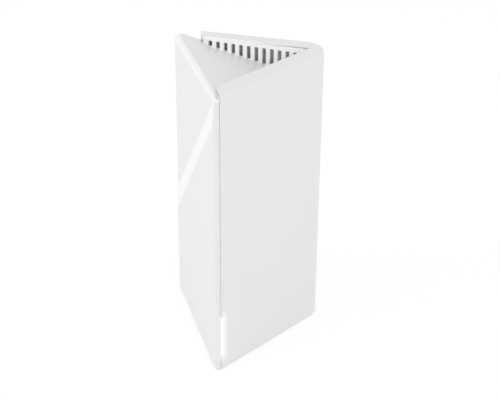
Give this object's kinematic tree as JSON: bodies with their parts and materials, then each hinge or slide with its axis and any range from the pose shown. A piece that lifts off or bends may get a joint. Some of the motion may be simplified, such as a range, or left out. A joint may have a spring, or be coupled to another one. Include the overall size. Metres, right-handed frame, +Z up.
{
  "type": "wireless router",
  "caption": "Upright triangular wireless router with a folded left face, a vented well in its top, a status light, and ports and buttons low on its back.",
  "frame": {"origin": "on the surface the router stands on, under the middle of its bounding box", "axes": "+Z up the tower, -Y towards the rounded front corner between the two visible faces, +Y towards the flat back with the ports"},
  "size_m": [0.1156, 0.1141, 0.226],
  "materials": {
    "housing": "satin moulded white",
    "light": "frosted translucent white",
    "base": "fine matt white",
    "foot": "soft matt grey",
    "screw": "plated steel",
    "frame": "plain moulded",
    "board": "solder mask",
    "chip": "moulded black",
    "pad": "soft silicone",
    "sink": "extruded",
    "tin": "tinned sheet",
    "socket": "moulded black",
    "contact": "gold plated",
    "button": "satin moulded",
    "plunger": "moulded ivory",
    "pin": "moulded natural",
    "diode": "phosphor",
    "capacitor": "sleeved can"
  },
  "bodies": {
    "router": {"rear_housing": "housing", "front_cover": "housing", "vent_grille": "housing", "light_bar": "light", "light_board": "board", "light_chips": "diode", "base_cover": "base", "rubber_feet": "foot", "base_screws": "screw", "antenna_frame": "frame", "frame_screws": "screw", "antenna_boards": "board", "main_board": "board", "board_screws": "screw", "processor": "chip", "memory_chips": "chip", "thermal_pad": "pad", "heat_sink": "sink", "sink_pins": "pin", "radio_shields": "tin", "network_transformers": "chip", "capacitors": "capacitor", "network_jacks": "socket", "jack_shields": "tin", "jack_contacts": "contact", "power_inlet": "socket", "inlet_pin": "contact", "inlet_spring": "contact", "pair_switch": "chip", "reset_switch": "chip", "power_switch": "chip"},
    "pair_button": {"pair_button": "button", "pair_plunger": "plunger"},
    "reset_button": {"reset_button": "plunger"},
    "power_button": {"power_button": "button", "power_plunger": "plunger"}
  },
  "joints": [
    {"name": "pair_press", "type": "slide", "parent": "router", "child": "pair_button", "axis": [0, -1, 0], "range_m": [0, 0.0005], "stiffness_N_per_m": 1500, "springref_m": -0.0002},
    {"name": "reset_press", "type": "slide", "parent": "router", "child": "reset_button", "axis": [0, -1, 0], "range_m": [0, 0.0003], "stiffness_N_per_m": 2500, "springref_m": -0.0002},
    {"name": "power_press", "type": "slide", "parent": "router", "child": "power_button", "axis": [0, -1, 0], "range_m": [0, 0.002], "stiffness_N_per_m": 600, "springref_m": -0.001}
  ]
}
